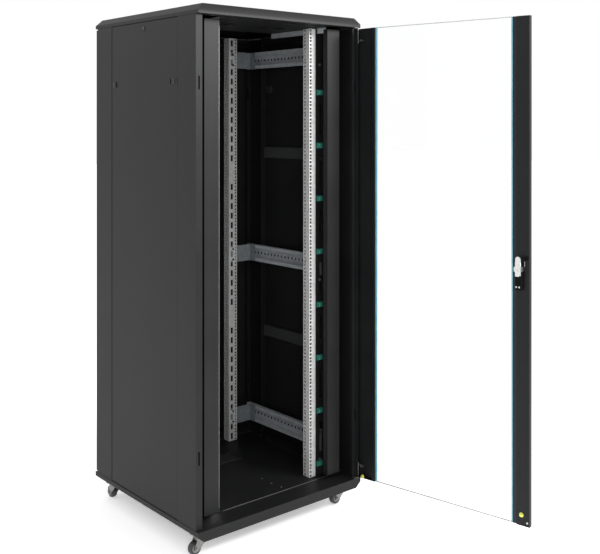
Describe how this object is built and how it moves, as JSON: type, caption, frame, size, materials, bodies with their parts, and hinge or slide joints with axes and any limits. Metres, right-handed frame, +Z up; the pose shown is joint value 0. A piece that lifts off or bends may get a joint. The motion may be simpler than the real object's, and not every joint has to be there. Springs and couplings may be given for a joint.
{
  "type": "network server rack cabinet",
  "caption": "Free-standing 19-inch network cabinet on castors, with a hinged glass front door, steel rear door, removable side panels and four mounting rails.",
  "frame": {"origin": "on the floor under the middle of the cabinet's footprint, doors closed", "axes": "+Z up; the front with the glass door faces -Y; +X is to the right seen from the front"},
  "size_m": [0.9479, 1.5666, 2.025],
  "materials": {
    "powder_black": "matt powder coat",
    "rail_zinc": "zinc plated, satin",
    "beam_grey": "satin",
    "glass_clear": "clear toughened glass",
    "door_black": "matt powder coat",
    "die_cast": "satin die casting",
    "plastic_black": "matt",
    "castor_steel": "bright zinc",
    "tyre_grey": "matt"
  },
  "bodies": {
    "cabinet": {"top_cover": "powder_black", "base_frame": "powder_black", "floor_panel": "powder_black", "post_front_left": "powder_black", "post_front_right": "powder_black", "post_rear_left": "powder_black", "post_rear_right": "powder_black", "bezel_strip_left": "powder_black", "bezel_strip_right": "powder_black", "cable_strip_left": "powder_black", "cable_strip_right": "powder_black", "rail_front_left": "rail_zinc", "rail_front_right": "rail_zinc", "rail_rear_left": "rail_zinc", "rail_rear_right": "rail_zinc", "beam_left_low": "beam_grey", "beam_left_mid": "beam_grey", "beam_left_high": "beam_grey", "beam_right_low": "beam_grey", "beam_right_mid": "beam_grey", "beam_right_high": "beam_grey", "bracket_front_left_low": "beam_grey", "bracket_front_left_mid": "beam_grey", "bracket_front_left_high": "beam_grey", "bracket_front_right_low": "beam_grey", "bracket_front_right_mid": "beam_grey", "bracket_front_right_high": "beam_grey", "bracket_rear_left_low": "beam_grey", "bracket_rear_left_mid": "beam_grey", "bracket_rear_left_high": "beam_grey", "bracket_rear_right_low": "beam_grey", "bracket_rear_right_mid": "beam_grey", "bracket_rear_right_high": "beam_grey"},
    "front_door": {"front_door_glass": "glass_clear", "front_door_hinge_stile": "door_black", "front_door_latch_stile": "door_black", "front_lock_body": "die_cast"},
    "front_lock": {"front_lock_cam": "die_cast"},
    "front_handle": {"front_handle": "plastic_black"},
    "front_key": {"front_key_cylinder": "die_cast"},
    "upper_hinge_pin": {"hinge_pin_upper": "castor_steel"},
    "lower_hinge_pin": {"hinge_pin_lower": "castor_steel"},
    "rear_door": {"rear_door_panel": "powder_black"},
    "rear_lock": {"rear_door_lock": "die_cast"},
    "side_panel_left": {"side_panel_left": "powder_black"},
    "side_latch_left_front": {"side_latch_left_front": "plastic_black"},
    "side_latch_left_rear": {"side_latch_left_rear": "plastic_black"},
    "side_lock_left": {"side_lock_left": "plastic_black"},
    "side_panel_right": {"side_panel_right": "powder_black"},
    "side_latch_right_front": {"side_latch_right_front": "plastic_black"},
    "side_latch_right_rear": {"side_latch_right_rear": "plastic_black"},
    "side_lock_right": {"side_lock_right": "plastic_black"},
    "castor_front_left": {"castor_fork_front_left": "castor_steel"},
    "wheel_front_left": {"castor_wheel_front_left": "tyre_grey"},
    "castor_front_right": {"castor_fork_front_right": "castor_steel"},
    "wheel_front_right": {"castor_wheel_front_right": "tyre_grey"},
    "castor_rear_left": {"castor_fork_rear_left": "castor_steel"},
    "wheel_rear_left": {"castor_wheel_rear_left": "tyre_grey"},
    "castor_rear_right": {"castor_fork_rear_right": "castor_steel"},
    "wheel_rear_right": {"castor_wheel_rear_right": "tyre_grey"}
  },
  "joints": [
    {"name": "front_door_hinge", "type": "hinge", "parent": "cabinet", "child": "front_door", "pos_m": [0.392, -0.389, 1.0475], "axis": [0, 0, 1], "range_deg": [-100.2, 19.8]},
    {"name": "front_lock_turn", "type": "hinge", "parent": "front_door", "child": "front_lock", "pos_m": [0.52428, -1.12419, 1.0475], "axis": [0.9842, 0.1771, 0], "range_deg": [0, 90]},
    {"name": "front_handle_lift", "type": "hinge", "parent": "front_lock", "child": "front_handle", "pos_m": [0.54151, -1.12109, 1.0475], "axis": [0.1771, -0.9842, 0], "range_deg": [0, 80]},
    {"name": "front_key_turn", "type": "hinge", "parent": "front_handle", "child": "front_key", "pos_m": [0.54151, -1.12109, 0.9355], "axis": [0.9842, 0.1771, 0], "range_deg": [0, 90]},
    {"name": "upper_hinge_pin_slide", "type": "slide", "parent": "front_door", "child": "upper_hinge_pin", "axis": [0, 0, -1], "range_m": [0, 0.0115], "stiffness_N_per_m": 400, "springref_m": -0.01},
    {"name": "lower_hinge_pin_slide", "type": "slide", "parent": "front_door", "child": "lower_hinge_pin", "axis": [0, 0, 1], "range_m": [0, 0.0115], "stiffness_N_per_m": 400, "springref_m": -0.01},
    {"name": "rear_door_hinge", "type": "hinge", "parent": "cabinet", "child": "rear_door", "pos_m": [0.392, 0.389, 1.0475], "axis": [0, 0, -1], "range_deg": [0, 120]},
    {"name": "rear_lock_turn", "type": "hinge", "parent": "rear_door", "child": "rear_lock", "pos_m": [-0.355, 0.389, 1.0475], "axis": [0, -1, 0], "range_deg": [0, 90]},
    {"name": "side_panel_left_slide", "type": "slide", "parent": "cabinet", "child": "side_panel_left", "axis": [-1, 0, 0], "range_m": [0, 0.25]},
    {"name": "side_latch_left_front_slide", "type": "slide", "parent": "side_panel_left", "child": "side_latch_left_front", "axis": [0, 1, 0], "range_m": [0, 0.01], "stiffness_N_per_m": 300, "springref_m": -0.005},
    {"name": "side_latch_left_rear_slide", "type": "slide", "parent": "side_panel_left", "child": "side_latch_left_rear", "axis": [0, -1, 0], "range_m": [0, 0.01], "stiffness_N_per_m": 300, "springref_m": -0.005},
    {"name": "side_lock_left_turn", "type": "hinge", "parent": "side_panel_left", "child": "side_lock_left", "pos_m": [-0.398, 0, 1.961], "axis": [-1, 0, 0], "range_deg": [0, 90]},
    {"name": "side_panel_right_slide", "type": "slide", "parent": "cabinet", "child": "side_panel_right", "axis": [1, 0, 0], "range_m": [0, 0.25]},
    {"name": "side_latch_right_front_slide", "type": "slide", "parent": "side_panel_right", "child": "side_latch_right_front", "axis": [0, 1, 0], "range_m": [0, 0.01], "stiffness_N_per_m": 300, "springref_m": -0.005},
    {"name": "side_latch_right_rear_slide", "type": "slide", "parent": "side_panel_right", "child": "side_latch_right_rear", "axis": [0, -1, 0], "range_m": [0, 0.01], "stiffness_N_per_m": 300, "springref_m": -0.005},
    {"name": "side_lock_right_turn", "type": "hinge", "parent": "side_panel_right", "child": "side_lock_right", "pos_m": [0.398, 0, 1.961], "axis": [1, 0, 0], "range_deg": [0, 90]},
    {"name": "castor_swivel_front_left", "type": "hinge", "parent": "cabinet", "child": "castor_front_left", "pos_m": [-0.345, -0.325, 0.0697], "axis": [0, 0, 1], "continuous": true},
    {"name": "castor_roll_front_left", "type": "hinge", "parent": "castor_front_left", "child": "wheel_front_left", "pos_m": [-0.371, -0.325, 0.025], "axis": [0, 1, 0], "continuous": true},
    {"name": "castor_swivel_front_right", "type": "hinge", "parent": "cabinet", "child": "castor_front_right", "pos_m": [0.345, -0.325, 0.0697], "axis": [0, 0, 1], "continuous": true},
    {"name": "castor_roll_front_right", "type": "hinge", "parent": "castor_front_right", "child": "wheel_front_right", "pos_m": [0.319, -0.325, 0.025], "axis": [0, 1, 0], "continuous": true},
    {"name": "castor_swivel_rear_left", "type": "hinge", "parent": "cabinet", "child": "castor_rear_left", "pos_m": [-0.345, 0.325, 0.0697], "axis": [0, 0, 1], "continuous": true},
    {"name": "castor_roll_rear_left", "type": "hinge", "parent": "castor_rear_left", "child": "wheel_rear_left", "pos_m": [-0.345, 0.351, 0.025], "axis": [1, 0, 0], "continuous": true},
    {"name": "castor_swivel_rear_right", "type": "hinge", "parent": "cabinet", "child": "castor_rear_right", "pos_m": [0.345, 0.325, 0.0697], "axis": [0, 0, 1], "continuous": true},
    {"name": "castor_roll_rear_right", "type": "hinge", "parent": "castor_rear_right", "child": "wheel_rear_right", "pos_m": [0.345, 0.351, 0.025], "axis": [1, 0, 0], "continuous": true}
  ]
}
